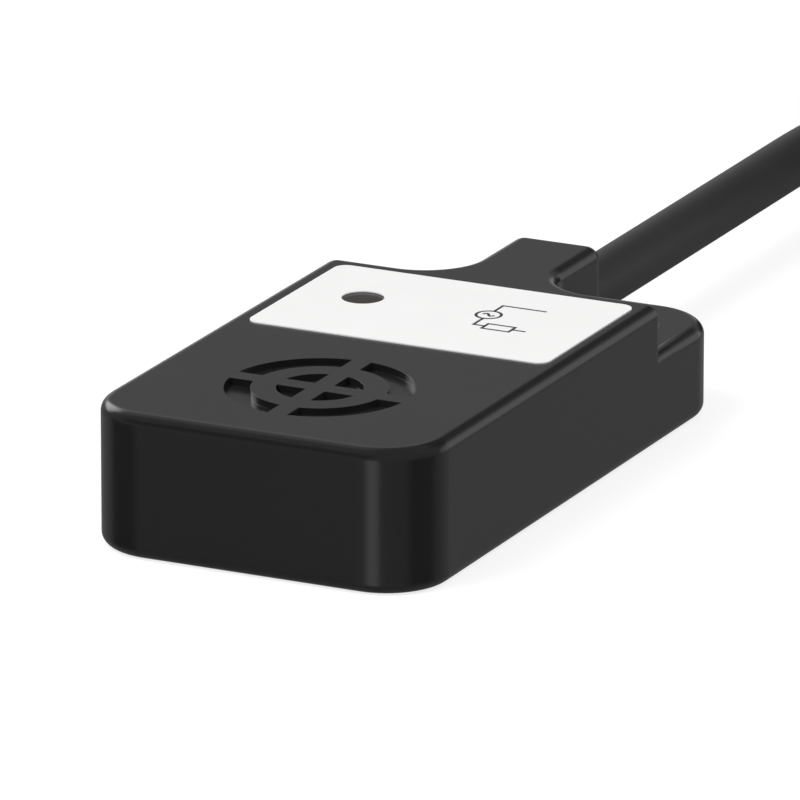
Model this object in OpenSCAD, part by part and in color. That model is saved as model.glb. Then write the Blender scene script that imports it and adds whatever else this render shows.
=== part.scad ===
// Flat inductive proximity sensor for two-wire AC circuits.
// A rectangular plastic case senses metal above its marked face.  Two low ears at
// the rear take the mounting screws and a raised neck between them holds the cable.
// Origin: centre of the sensor's underside.  +Y runs from the sensing end to the
// cable end, +Z is up through the marked sensing face.  Lengths are in millimetres.

/* [Case] */
// Width of the case
body_w = 25; // [24:0.5:32]
// Length of the case, from the sensing end to the cable end
body_l = 48; // [46:0.5:60]
// Height of the case
body_h = 10; // [9.6:0.1:14]
// Length of the full-height block at the sensing end
block_l = 37.7; // [36:0.1:39]
// Radius of the four upright corners
corner_r = 4.6; // [3:0.1:6]
// Radius of the upright corners where the block steps down to the ears
step_corner_r = 1; // [0.9:0.1:1.6]
// Radius of the rounded upper edges
top_round = 0.9; // [0.4:0.1:0.9]
// Radius of the rounded lower edges
base_round = 0.85; // [0.4:0.05:1]
// Thickness of the side walls
wall = 1.6; // [1.4:0.1:2]
// Thickness of the sensing face
roof = 1.2; // [1:0.1:1.4]

/* [Ears and neck] */
// Height of the two mounting ears
ear_h = 6.5; // [5:0.1:7.5]
// Width of the raised neck that holds the cable
neck_w = 6.5; // [6.4:0.1:7.4]
// Radius of the hollow corners at the root of the neck
root_r = 4; // [2:0.1:4.4]
// Bore of each screw hole
hole_d = 4.3; // [3.2:0.1:4.5]
// Distance between the two screw holes
hole_pitch = 15; // [14.6:0.1:16]
// Distance from the cable end to the screw holes
hole_from_end = 5.8; // [5:0.1:6.4]
// Width of the chamfer at both mouths of a screw hole
hole_chamfer = 0.25; // [0.1:0.05:0.4]

/* [Sensing mark] */
// Distance from the sensing end to the centre of the mark
mark_from_end = 10.75; // [10.7:0.05:12]
// Outer radius of the ring
mark_ring_r = 6.35; // [5.5:0.05:7]
// Inner radius of the ring
mark_ring_inner_r = 4.6; // [4:0.05:5]
// Radius of the centre disc
mark_disc_r = 2.9; // [2:0.05:3.4]
// Width of the two crossed bars
mark_bar_w = 1.4; // [1:0.05:2]
// Depth of the sunk areas
mark_depth = 0.5; // [0.2:0.05:0.6]

/* [Label and indicator] */
// Width of the label
label_w = 22.2; // [18:0.1:22.4]
// Length of the label
label_l = 14.4; // [12:0.1:15]
// Thickness of the label
label_t = 0.1; // [0.05:0.05:0.2]
// Corner radius of the label
label_r = 0.9; // [0.3:0.1:1.5]
// Sideways offset of the label from the middle of the case
label_x = 0.2; // [-0.2:0.1:0.2]
// Distance from the label to the step at the rear of the block
label_from_step = 1.75; // [1:0.05:2.5]
// Diameter of the indicator opening in the label
window_d = 2.9; // [2:0.1:2.9]
// Distance of the indicator from the middle of the case
window_x = 6.1; // [5.6:0.1:6.5]
// Distance from the step to the indicator
window_from_step = 8; // [7.8:0.1:9]
// Diameter of the light guide
lens_d = 3; // [2.9:0.1:3.2]
// Diameter of the light guide's collar under the sensing face
lens_collar_d = 3.8; // [3.6:0.1:4.2]
// Thickness of the light guide's collar
lens_collar_t = 0.6; // [0.4:0.1:1]

/* [Base] */
// Thickness of the bottom cover
cover_t = 1; // [0.8:0.1:1.2]
// Width of the ledge that the bottom cover rests against
cover_ledge = 0.5; // [0.3:0.05:0.5]
// Thickness of the resin poured under the circuit board
resin_t = 2; // [1.6:0.1:2.2]

/* [Circuit board] */
// Thickness of the circuit board
board_t = 1; // [0.8:0.1:1.2]
// Clearance between the circuit board and the walls
board_gap = 0.4; // [0.2:0.05:0.6]
// Distance from the board's rear edge to the rear wall, for the cable clamp
board_rear_gap = 2.5; // [2.3:0.1:2.8]
// Diameter of the posts that hold the board down
post_d = 2; // [1.6:0.1:2.2]

/* [Sensing coil] */
// Outer diameter of the ferrite core
core_d = 18; // [16:0.1:18.1]
// Height of the ferrite core
core_h = 4.2; // [3.8:0.1:4.4]
// Thickness of the back of the ferrite core
core_back = 1.4; // [1:0.1:1.6]
// Thickness of the core's outer rim
core_rim = 1.7; // [1.2:0.1:2]
// Diameter of the core's centre post
core_post_d = 7; // [6:0.1:7.5]
// Diameter of the hole through the core's centre post
core_hole_d = 2; // [1.4:0.1:3]
// Width of the slot in the core's rim for the winding's ends
core_slot_w = 4; // [3.6:0.1:5]
// Gap between the core and the sensing face
core_gap = 0.2; // [0.1:0.05:0.3]
// Clearance around the bobbin inside the core
bobbin_gap = 0.15; // [0.1:0.05:0.2]
// Thickness of the bobbin's flanges and hub
bobbin_wall = 0.4; // [0.3:0.05:0.5]
// Gap between the winding's outside and the rim of the bobbin
winding_inset = 0.3; // [0.1:0.05:0.5]
// Diameter of the winding's two end wires
winding_wire_d = 0.3; // [0.2:0.05:0.4]

/* [Cable] */
// Diameter of the cable
cable_d = 3.8; // [3.4:0.1:4]
// Height of the cable's axis where it leaves the neck
cable_z = 5.2; // [5:0.1:5.4]
// Outer diameter of the bushing in the neck
bushing_d = 5.2; // [5:0.1:5.4]
// Length of the bushing
bushing_l = 10; // [6:0.1:10.2]
// Outer diameter of the clamp that is crimped on the cable inside the case
clamp_d = 5.8; // [5.6:0.1:6.2]
// Length of the clamp
clamp_l = 1.6; // [1.2:0.1:1.8]
// Length of jacket that passes the clamp
jacket_past_clamp = 0.4; // [0.2:0.1:0.6]
// Diameter of each insulated wire in the cable
wire_d = 1.3; // [1:0.05:1.5]
// Distance between the two wires where they are soldered
pad_pitch = 5.2; // [4:0.1:7]
// Length of the cable's stripped end wires
lead_l = 36; // [20:1:40]
// Length of the tinned tip of each end wire
tip_l = 6; // [4:0.5:8]
// Diameter of the tinned tips
tip_d = 0.8; // [0.5:0.05:0.9]
// Width of the tie around the folded cable
tie_w = 4; // [3:0.5:8]
// Thickness of the tie
tie_t = 0.5; // [0.3:0.1:0.8]

/* [Hidden] */
$fn = 64;

// Small clearance between parts that fit inside one another
fit_gap = 0.05;
// Overlap used so that cuts pass cleanly through a face
cut = 0.5;

// Case
front_y = -body_l / 2;
rear_y = body_l / 2;
step_y = front_y + block_l;
roof_z = body_h - roof;
mark_y = front_y + mark_from_end;
hole_y = rear_y - hole_from_end;
inner_r = corner_r - wall;
inner_front_y = front_y + wall;
inner_rear_y = step_y - wall;
inner_w = body_w - 2 * wall;
inner_l = inner_rear_y - inner_front_y;
inner_mid_y = (inner_front_y + inner_rear_y) / 2;

// Board
board_z = cover_t + resin_t;
board_top = board_z + board_t;
board_w = inner_w - 2 * board_gap;
board_front_y = inner_front_y + board_gap;
board_rear_y = inner_rear_y - board_rear_gap;
board_l = board_rear_y - board_front_y;
board_mid_y = (board_front_y + board_rear_y) / 2;
post_x = inner_w / 2 - post_d / 2;
post_inset = post_d;

// What stands on the board: sizes [x, y, z], and places [x, y] behind the core
parts_gap = 0.4;
parts_y = mark_y + core_d / 2 + parts_gap;
leg_t = 0.2;
oscillator_size = [4.9, 3.9, 1.6];
oscillator_at = [3.6, 2.9];
oscillator_leg = [0.45, 1];
bridge_size = [4.7, 3.2, 2.4];
bridge_at = [8, 7.7];
bridge_leg = [0.7, 0.6];
thyristor_size = [6, 3.2, 1.8];
thyristor_at = [-6.9, 2.1];
thyristor_leg = [0.6, 1];
varistor_size = [4.4, 2.2, 2.3];
varistor_at = [-1.1, 8];
smoothing_size = [3.4, 2.6, 2];
smoothing_at = [-1, 5.1];
capacitor_size = [2, 1.1, 0.9];
capacitor_at = [-1.6, 0.9];
capacitor_pitch = 1.5;
resistor_size = [2, 1.2, 0.6];
resistor_front_at = [8.6, 1];
resistor_rear_at = [4.5, 7.7];
resistor_pitch = 1.6;
zener_d = 1.4;
zener_l = 3.4;
zener_at = [-7.6, 5.8];
led_size = [2.6, 2, 1.2];
led_base_t = 0.5;
led_dome_d = 1.7;
led_gap = 0.3;

// Sensing coil
core_top = roof_z - core_gap;
core_z = core_top - core_h;
groove_r = core_d / 2 - core_rim;
bobbin_r = groove_r - bobbin_gap;
bobbin_hub_r = core_post_d / 2 + bobbin_gap + bobbin_wall;
bobbin_z = core_z + core_back;
bobbin_h = core_top - bobbin_z - bobbin_gap;
slot_margin = 0.6;
pad_d = core_d - 2;

// Indicator
window_y = step_y - window_from_step;
lens_foot_z = board_top + led_size.z + led_gap;

// Cable inside the case
neck_bore_r = bushing_d / 2 + fit_gap;
cable_gap = 0.2;
wall_bore_r = cable_d / 2 + cable_gap;
clamp_y = inner_rear_y - cable_gap;
jacket_y = clamp_y - clamp_l - jacket_past_clamp;
wire_x = 0.75;
pad_inset = 3.2;
pad_y = jacket_y - pad_inset;
joint_r = 0.9;
joint_h = 0.7;
wire_rest_z = board_top + wire_d / 2;

// Cable outside the case: the chosen points of its middle line, [x, y, z]
run_points = [[0, 24, 5.2], [0, 32, 5.2], [0, 40, 5.2], [0, 48, 5.2], [0, 56, 5.2],
    [0, 64, 5.2], [-0.1, 68, 5], [-0.7, 72, 4.3], [-1.9, 76, 3.1], [-3.4, 80, 2.3],
    [-4.3, 84, 1.9], [-4.4, 85, 1.9]];
// The folded cable: two straight runs and two round folds, in columns and layers
hank_x = 10.6;
hank_y = 96;
hank_run_l = 63;
fold_r = 3 * cable_d;
hank_layers = 4;
outer_fold_r = fold_r + cable_d;
hank_outer_r = outer_fold_r + cable_d / 2;
hank_inner_r = fold_r - cable_d / 2;
hank_h = hank_layers * cable_d;
tail_z = hank_h + cable_d / 2;
tail_r = fold_r - 0.1;
tail_end_l = 39.6;
fold_steps = 6;
run_steps = 7;
end_steps = 4;
tie_y = hank_y + hank_run_l / 2;
tie_gap = 0.3;
tie_slope = 2.6;

// ---------- shared shapes ----------

// Flat outline with four rounded corners, centred on [0, mid_y]
module rounded_outline(w, l, r, mid_y) {
    translate([0, mid_y]) {
        square([w - 2 * r, l], center = true);
        square([w, l - 2 * r], center = true);
        for (sx = [-1, 1], sy = [-1, 1])
            translate([sx * (w / 2 - r), sy * (l / 2 - r)]) circle(r);
    }
}

// Upright section, from x = 0 out to x = reach, with its outer edges rounded
module edge_section(reach, h, rt, rb) {
    square([reach - rt, h]);
    translate([0, rb]) square([reach, h - rt - rb]);
    square([reach - rb, h - rt]);
    translate([reach - rt, h - rt]) circle(rt, $fn = 48);
    translate([reach - rb, rb]) circle(rb, $fn = 48);
}

// Slab between y0 and y1 with rounded top and bottom edges; its upright corners
// have radius r0 at the y0 end and r1 at the y1 end
module soft_slab(w, y0, y1, r0, r1, h, rt, rb) {
    translate([0, y1 - r1, 0]) rotate([90, 0, 0]) linear_extrude(y1 - r1 - y0 - r0) {
        edge_section(w / 2, h, rt, rb);
        mirror([1, 0]) edge_section(w / 2, h, rt, rb);
    }
    for (end = [[y0 + r0, r0, -90], [y1 - r1, r1, 90]]) translate([0, end[0], 0]) {
        for (sx = [-1, 1]) translate([sx * (w / 2 - end[1]), 0, 0])
            rotate_extrude() edge_section(end[1], h, rt, rb);
        rotate([90, 0, end[2]]) translate([0, 0, end[1] - w / 2])
            linear_extrude(w - 2 * end[1]) edge_section(end[1], h, rt, rb);
    }
}

// Wire of round section along a list of points, with round bends
module wire(points, d) {
    for (i = [0 : len(points) - 2]) {
        step = points[i + 1] - points[i];
        turn = [0, acos(step.z / norm(step)), atan2(step.y, step.x)];
        translate(points[i]) rotate(turn) cylinder(h = norm(step), d = d, $fn = 24);
        if (i > 0) translate(points[i]) sphere(d = d, $fn = 24);
    }
}

// Chip package: a moulded body with flat legs [width, reach] along its two long sides
module chip(size, legs, leg) {
    pitch = size.x / legs;
    translate([-size.x / 2, -size.y / 2, leg_t]) cube([size.x, size.y, size.z - leg_t]);
    for (i = [0 : legs - 1])
        translate([(i + 0.5) * pitch - size.x / 2 - leg.x / 2, -size.y / 2 - leg.y, 0])
            cube([leg.x, size.y + 2 * leg.y, leg_t]);
}

// Two-ended component: a body between two solder caps, which may be lower than it
module capped_part(size, cap_h) {
    cap = size.x / 5;
    rise = leg_t / 2;
    translate([cap / 2 - size.x / 2, -size.y / 2, rise]) cube([size.x - cap, size.y, size.z - rise]);
    for (sx = [-1, 1]) translate([sx * (size.x - cap) / 2 - cap / 2, rise - size.y / 2, 0])
        cube([cap, size.y - 2 * rise, cap_h]);
}

// Puts a component on the board, at its place behind the core
module on_board(at) {
    translate([at.x, parts_y + at.y, board_top]) children();
}

// Direction of a path at point i
function heading(p, i) = let (v = p[min(i + 1, len(p) - 1)] - p[max(i - 1, 0)]) v / norm(v);

// Ring of n points around point i of a path
function ring(p, i, d, n) = let (along = heading(p, i), s = cross(along, [0, 0, 1]),
    side = s / norm(s), up = cross(side, along))
    [for (k = [0 : n - 1]) p[i] + d / 2 * (cos(360 * k / n) * side + sin(360 * k / n) * up)];

// Flexible tube swept along the points of a path
module tube(p, d, n = 8) {
    last = (len(p) - 1) * n;
    polyhedron(
        points = [for (i = [0 : len(p) - 1]) each ring(p, i, d, n)],
        faces = concat(
            [[for (k = [0 : n - 1]) k]],
            [for (i = [0 : len(p) - 2], k = [0 : n - 1])
                [i * n + k, (i + 1) * n + k, (i + 1) * n + (k + 1) % n, i * n + (k + 1) % n]],
            [[for (k = [n - 1 : -1 : 0]) last + k]]));
}

// Points of the folded cable's top: a share of the way along a run or round a fold
function left_run(r, share) = [hank_x - r, hank_y + hank_run_l * share, tail_z];
function right_run(r, share) = [hank_x + r, hank_y + hank_run_l * (1 - share), tail_z];
function near_fold(r, share) =
    [hank_x + r * cos(180 * share), hank_y - r * sin(180 * share), tail_z];
function far_fold(r, share) =
    [hank_x - r * cos(180 * share), hank_y + hank_run_l + r * sin(180 * share), tail_z];

// Path of the cable's last turn, which lies on top: it moves inward along the right run
function inward(share) = outer_fold_r + (tail_r - outer_fold_r) * (1 - cos(180 * share)) / 2;
tail_points = concat(
    [for (i = [0 : fold_steps - 1]) near_fold(outer_fold_r, i / fold_steps)],
    [for (i = [0 : run_steps - 1]) left_run(outer_fold_r, i / run_steps)],
    [for (i = [0 : fold_steps - 1]) far_fold(outer_fold_r, i / fold_steps)],
    [for (i = [0 : run_steps - 1]) right_run(inward(i / run_steps), i / run_steps)],
    [for (i = [0 : fold_steps - 1]) near_fold(tail_r, i / fold_steps)],
    [for (i = [0 : end_steps]) left_run(tail_r, tail_end_l / hank_run_l * i / end_steps)]);

// Path of one end wire beyond the jacket, beside the cable's own line; it sinks from
// the middle of the jacket to the cable below over the first sink_l
lead_steps = 8;
lead_offset = 0.55 * wire_d;
sink_l = 10;
function lead_point(side, s) = let (r = tail_r + side * lead_offset,
    along = tail_end_l + s, round = max(along - hank_run_l, 0),
    high = (1 + cos(180 * min(s / sink_l, 1))) / 2,
    z = hank_h + wire_d / 2 + high * (cable_d - wire_d) / 2,
    p = round > 0 ? far_fold(r, round / (PI * tail_r)) : left_run(r, along / hank_run_l))
    [p[0], p[1], z];
function lead_path(side, from, to) =
    [for (i = [0 : lead_steps]) lead_point(side, from + (to - from) * i / lead_steps)];

// ---------- case ----------

// Cutter for the hollow corner at the root of the neck, with the rounded top edge
module root_cutter() {
    translate([0, 0, -cut]) cylinder(h = body_h + 2 * cut, r = root_r);
    rotate_extrude() difference() {
        translate([0, body_h - top_round]) square([root_r + top_round, top_round + cut]);
        translate([root_r + top_round, body_h - top_round]) circle(top_round, $fn = 48);
    }
}

module outer_form() {
    lap = 2 * top_round;
    soft_slab(body_w, front_y, step_y, corner_r, step_corner_r, body_h, top_round, base_round);
    soft_slab(body_w, step_y - 3 * lap, rear_y, step_corner_r, corner_r, ear_h, top_round, base_round);
    soft_slab(neck_w, step_y - 3 * lap, rear_y, step_corner_r, step_corner_r, body_h, top_round,
        base_round);
    for (sx = [-1, 1]) difference() {
        translate([sx * (neck_w + root_r - lap) / 2, step_y + (root_r - lap) / 2, body_h / 2])
            cube([root_r + lap, root_r + lap, body_h], center = true);
        translate([sx * (neck_w / 2 + root_r), step_y + root_r, 0]) root_cutter();
    }
}

module screw_hole() {
    translate([0, 0, -cut]) cylinder(h = ear_h + 2 * cut, d = hole_d);
    translate([0, 0, ear_h - hole_chamfer])
        cylinder(h = cut, r1 = hole_d / 2, r2 = hole_d / 2 + cut);
    translate([0, 0, hole_chamfer - cut])
        cylinder(h = cut, r1 = hole_d / 2 + cut, r2 = hole_d / 2);
}

module sensing_mark() {
    translate([0, mark_y, body_h - mark_depth]) difference() {
        union() {
            difference() {
                cylinder(h = mark_depth + cut, r = mark_ring_r);
                translate([0, 0, -cut]) cylinder(h = mark_depth + 3 * cut, r = mark_ring_inner_r);
            }
            cylinder(h = mark_depth + cut, r = mark_disc_r);
        }
        for (bar = [[mark_bar_w, 3 * mark_ring_r], [3 * mark_ring_r, mark_bar_w]])
            translate([-bar.x / 2, -bar.y / 2, -cut]) cube([bar.x, bar.y, mark_depth + 3 * cut]);
    }
}

module inner_space() {
    difference() {
        translate([0, 0, -cut]) linear_extrude(roof_z + cut)
            rounded_outline(inner_w, inner_l, inner_r, inner_mid_y);
        for (sx = [-1, 1], y = [board_front_y + post_inset, board_rear_y - post_inset])
            translate([sx * post_x, y, board_top]) {
                cylinder(h = body_h, d = post_d, $fn = 32);
                translate([sx * post_d / 2 - post_d / 2, -post_d / 2, 0])
                    cube([post_d, post_d, body_h]);
            }
    }
    translate([0, 0, -cut]) linear_extrude(cover_t + cut)
        rounded_outline(inner_w + 2 * cover_ledge, inner_l + 2 * cover_ledge,
            inner_r + cover_ledge, inner_mid_y);
}

module upper_case() {
    color("#2b2b2b") difference() {
        outer_form();
        inner_space();
        sensing_mark();
        for (sx = [-1, 1]) translate([sx * hole_pitch / 2, hole_y, 0]) screw_hole();
        translate([-window_x, window_y, roof_z - cut])
            cylinder(h = roof + 2 * cut, d = lens_d + 2 * fit_gap);
        translate([0, rear_y + cut, cable_z]) rotate([90, 0, 0])
            cylinder(h = bushing_l + cut + fit_gap, r = neck_bore_r);
        translate([0, rear_y, cable_z]) rotate([90, 0, 0])
            cylinder(h = rear_y - inner_rear_y + cut, r = wall_bore_r);
    }
}

module bottom_cover() {
    color("#303030") linear_extrude(cover_t - fit_gap)
        rounded_outline(inner_w + 2 * cover_ledge - 2 * fit_gap,
            inner_l + 2 * cover_ledge - 2 * fit_gap, inner_r + cover_ledge - fit_gap, inner_mid_y);
}

module nameplate_label() {
    label_mid_y = step_y - label_from_step - label_l / 2;
    color("#f4f4f2") difference() {
        translate([label_x, 0, body_h]) linear_extrude(label_t)
            rounded_outline(label_w, label_l, label_r, label_mid_y);
        translate([-window_x, window_y, body_h - cut]) cylinder(h = label_t + 2 * cut, d = window_d);
    }
}

// ---------- indicator ----------

module indicator_lens() {
    color("#3a1414") translate([-window_x, window_y, 0]) {
        translate([0, 0, lens_foot_z]) cylinder(h = body_h - lens_foot_z, d = lens_d);
        translate([0, 0, roof_z - lens_collar_t]) cylinder(h = lens_collar_t, d = lens_collar_d);
    }
}

module indicator_led() {
    color("#e8e0d0") translate([-window_x, window_y, board_top]) {
        translate([-led_size.x / 2, -led_size.y / 2, 0])
            cube([led_size.x, led_size.y, led_base_t]);
        cylinder(h = led_size.z, d = led_dome_d, $fn = 32);
    }
}

// ---------- sensing coil ----------

module ferrite_core() {
    color("#4a4744") translate([0, mark_y, core_z]) difference() {
        cylinder(h = core_h, d = core_d);
        translate([0, 0, core_back]) difference() {
            cylinder(h = core_h, r = groove_r);
            translate([0, 0, -cut]) cylinder(h = core_h + 2 * cut, d = core_post_d);
        }
        translate([0, 0, -cut]) cylinder(h = core_h + 2 * cut, d = core_hole_d);
        translate([-core_slot_w / 2, groove_r - cut, core_back])
            cube([core_slot_w, core_rim + 2 * cut, core_h]);
    }
}

module coil_bobbin() {
    hub_r = core_post_d / 2 + bobbin_gap;
    color("#e9e4d4") translate([0, mark_y, bobbin_z]) difference() {
        union() {
            cylinder(h = bobbin_wall, r = bobbin_r);
            cylinder(h = bobbin_h, r = bobbin_hub_r);
            translate([0, 0, bobbin_h - bobbin_wall]) cylinder(h = bobbin_wall, r = bobbin_r);
        }
        translate([0, 0, -cut]) cylinder(h = bobbin_h + 2 * cut, r = hub_r);
    }
}

module coil_winding() {
    color("#b5652a") translate([0, mark_y, bobbin_z + bobbin_wall]) difference() {
        cylinder(h = bobbin_h - 2 * bobbin_wall, r = bobbin_r - winding_inset);
        translate([0, 0, -cut]) cylinder(h = bobbin_h, r = bobbin_hub_r + fit_gap / 2);
    }
}

module winding_ends() {
    x = core_slot_w / 2 - slot_margin;
    z = bobbin_z + bobbin_h / 2;
    wound_y = mark_y + sqrt(pow(bobbin_r - winding_inset, 2) - x * x);
    down_y = mark_y + core_d / 2 + winding_wire_d;
    color("#c4743a") for (sx = [-1, 1])
        wire([[sx * x, wound_y, z], [sx * x, down_y, z], [sx * x, down_y, board_top]],
            winding_wire_d);
}

module core_pad() {
    color("#d8d4c4") translate([0, mark_y, board_top])
        cylinder(h = core_z - board_top, d = pad_d);
}

// ---------- electronics ----------

module circuit_board() {
    color("#1f5a38") difference() {
        translate([0, 0, board_z]) linear_extrude(board_t)
            rounded_outline(board_w, board_l, inner_r - board_gap, board_mid_y);
        for (sx = [-1, 1]) translate([sx * pad_pitch / 2, pad_y, board_z - cut])
            cylinder(h = board_t + 2 * cut, d = tip_d + 2 * fit_gap, $fn = 32);
    }
}

module oscillator_chip() {
    color("#1c1c1e") on_board(oscillator_at) chip(oscillator_size, 4, oscillator_leg);
}

module bridge_rectifier() {
    color("#202022") on_board(bridge_at) rotate(90) chip(bridge_size, 2, bridge_leg);
}

module output_thyristor() {
    tab_l = thyristor_leg.y / 2;
    color("#232325") on_board(thyristor_at) {
        translate([-thyristor_size.x / 2, -thyristor_size.y / 2, leg_t])
            cube([thyristor_size.x, thyristor_size.y, thyristor_size.z - leg_t]);
        translate([-thyristor_size.x / 4, -thyristor_size.y / 2 - tab_l, 0])
            cube([thyristor_size.x / 2, thyristor_size.y, leg_t]);
        for (i = [-1 : 1])
            translate([i * thyristor_size.x / 3 - thyristor_leg.x / 2, thyristor_size.y / 3, 0])
                cube([thyristor_leg.x, thyristor_size.y / 6 + thyristor_leg.y, leg_t]);
    }
}

module surge_varistor() {
    color("#2456a0") on_board(varistor_at) capped_part(varistor_size, varistor_size.z / 2);
}

module smoothing_capacitor() {
    color("#c99a3a") on_board(smoothing_at) capped_part(smoothing_size, smoothing_size.z / 2);
}

module tuning_capacitors() {
    color("#b39a78") for (i = [0 : 1])
        on_board(capacitor_at + [0, i * capacitor_pitch])
            capped_part(capacitor_size, capacitor_size.z);
}

module chip_resistors() {
    color("#2e2e30") {
        for (i = [0 : 2]) on_board(resistor_front_at + [0, i * resistor_pitch])
            capped_part(resistor_size, resistor_size.z);
        for (i = [0 : 1]) on_board(resistor_rear_at + [0, i * resistor_pitch])
            capped_part(resistor_size, resistor_size.z);
    }
}

module zener_diode() {
    color("#8a5a4a") on_board(zener_at) translate([-zener_l / 2, 0, zener_d / 2])
        rotate([0, 90, 0]) cylinder(h = zener_l, d = zener_d, $fn = 32);
}

// ---------- cable inside the case ----------

module joint_cones(grow) {
    for (sx = [-1, 1]) translate([sx * pad_pitch / 2, pad_y, board_z - joint_h - grow])
        cylinder(h = joint_h + grow, r1 = tip_d / 2 + grow, r2 = joint_r + grow, $fn = 32);
}

module solder_joints() {
    color("#c2c4c8") {
        joint_cones(0);
        for (sx = [-1, 1]) translate([sx * pad_pitch / 2, pad_y, board_z]) {
            cylinder(h = board_t, d = tip_d, $fn = 32);
            translate([0, 0, board_t])
                cylinder(h = wire_d, r1 = joint_r, r2 = tip_d / 2, $fn = 32);
        }
    }
}

module clamp_ring(grow) {
    translate([0, clamp_y + grow, cable_z]) rotate([90, 0, 0])
        cylinder(h = clamp_l + 2 * grow, r = clamp_d / 2 + grow);
}

module potting_resin() {
    color("#3b3a36") difference() {
        translate([0, 0, cover_t]) linear_extrude(resin_t)
            rounded_outline(inner_w - 2 * fit_gap, inner_l - 2 * fit_gap, inner_r - fit_gap,
                inner_mid_y);
        joint_cones(fit_gap);
        clamp_ring(fit_gap);
    }
}

module cable_bushing() {
    color("#1d1d1d") translate([0, rear_y, cable_z]) rotate([90, 0, 0]) difference() {
        cylinder(h = bushing_l, d = bushing_d);
        translate([0, 0, -cut]) cylinder(h = bushing_l + 2 * cut, r = cable_d / 2 + fit_gap);
    }
}

module cable_clamp() {
    color("#b9bcc0") difference() {
        clamp_ring(0);
        translate([0, rear_y, cable_z]) rotate([90, 0, 0])
            cylinder(h = body_l, r = cable_d / 2 + fit_gap);
    }
}

module cable_inner_end() {
    color("#26272a") translate([0, rear_y, cable_z]) rotate([90, 0, 0])
        cylinder(h = rear_y - jacket_y, d = cable_d);
}

// Insulated wire from the jacket's end down to its solder joint
module inner_wire(sx) {
    far = jacket_y - pad_y - joint_r;
    tube([for (s = [0 : 1 / 8 : 1]) let (ease = (1 - cos(180 * s)) / 2)
        [sx * (wire_x + (pad_pitch / 2 - wire_x) * ease), jacket_y - far * s,
            cable_z + (wire_rest_z - cable_z) * ease]], wire_d);
}

module inner_wire_brown() { color("#6b3d22") inner_wire(1); }

module inner_wire_blue() { color("#2f5fae") inner_wire(-1); }

// ---------- cable outside the case ----------

module cable_run() { color("#26272a") tube(run_points, cable_d); }

// Plan of one layer edge of the folded cable: two runs and two round ends
module hank_plan(r) {
    hull() for (y = [hank_y, hank_y + hank_run_l]) translate([hank_x, y]) circle(r, $fn = 72);
}

module cable_hank() {
    color("#26272a") difference() {
        linear_extrude(hank_h) difference() {
            hank_plan(hank_outer_r);
            hank_plan(hank_inner_r);
        }
        translate([hank_x - hank_outer_r - cut, tie_y - tie_w / 2, -cut])
            cube([2 * (hank_outer_r + cut), tie_w, cut + tie_t]);
    }
}

module cable_tail() { color("#26272a") tube(tail_points, cable_d); }

module hank_tie() {
    in_x = hank_outer_r + tie_gap;
    out_x = in_x + tie_t;
    top_z = hank_h + cable_d;
    color("#dcdcdc") translate([hank_x, tie_y + tie_w / 2, 0]) rotate([90, 0, 0])
        linear_extrude(tie_w) difference() {
            polygon([[-out_x, 0], [out_x, 0], [out_x, hank_h + tie_t],
                [out_x - tie_slope, top_z + tie_t], [-out_x, top_z + tie_t]]);
            polygon([[-in_x, tie_t], [in_x, tie_t], [in_x, hank_h + tie_gap],
                [in_x - tie_slope, top_z], [-in_x, top_z]]);
        }
}

module lead_brown() { color("#6b3d22") tube(lead_path(1, 0, lead_l), wire_d); }

module lead_blue() { color("#2f5fae") tube(lead_path(-1, 0, lead_l), wire_d); }

module lead_tips() {
    color("#c9ccd0") for (side = [-1, 1]) tube(lead_path(side, lead_l, lead_l + tip_l), tip_d);
}

upper_case();
bottom_cover();
nameplate_label();
indicator_lens();
indicator_led();
ferrite_core();
coil_bobbin();
coil_winding();
winding_ends();
core_pad();
circuit_board();
oscillator_chip();
bridge_rectifier();
output_thyristor();
surge_varistor();
smoothing_capacitor();
tuning_capacitors();
chip_resistors();
zener_diode();
solder_joints();
potting_resin();
cable_bushing();
cable_clamp();
cable_inner_end();
inner_wire_brown();
inner_wire_blue();
cable_run();
cable_hank();
cable_tail();
hank_tie();
lead_brown();
lead_blue();
lead_tips();
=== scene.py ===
"""Looks of a flat inductive proximity sensor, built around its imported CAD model.

The CAD frame gives every piece its place.  Sizes below are in millimetres and are
turned into metres where a mesh is made.
"""

import logging
import math
from collections.abc import Callable, Sequence
from dataclasses import dataclass
from enum import Enum

import bmesh
import bpy
from mathutils import Matrix, Vector


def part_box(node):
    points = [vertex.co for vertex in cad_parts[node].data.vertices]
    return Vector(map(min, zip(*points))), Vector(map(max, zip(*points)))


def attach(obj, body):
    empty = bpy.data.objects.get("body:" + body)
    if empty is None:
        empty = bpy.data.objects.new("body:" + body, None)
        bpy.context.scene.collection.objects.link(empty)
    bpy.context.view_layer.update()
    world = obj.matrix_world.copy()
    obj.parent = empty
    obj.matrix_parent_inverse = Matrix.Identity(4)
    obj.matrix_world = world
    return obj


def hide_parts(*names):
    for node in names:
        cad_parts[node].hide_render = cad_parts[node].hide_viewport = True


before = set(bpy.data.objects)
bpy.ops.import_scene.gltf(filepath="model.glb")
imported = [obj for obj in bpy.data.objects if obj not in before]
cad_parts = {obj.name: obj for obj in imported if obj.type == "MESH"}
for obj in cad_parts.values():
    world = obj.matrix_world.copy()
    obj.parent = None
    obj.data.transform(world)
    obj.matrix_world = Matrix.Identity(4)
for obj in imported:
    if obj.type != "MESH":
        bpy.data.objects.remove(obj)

LOG = logging.getLogger("proximity_sensor")
MM = 0.001
BODY = "root"
FULL_TURN = 2 * math.pi
# Distances below this one count as nothing, in a mesh's own unit
TINY = 1e-6

Setting = str | float | int | bool
Level = float | Sequence[float]


# ---------------------------------------------------------------- shader maths


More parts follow.
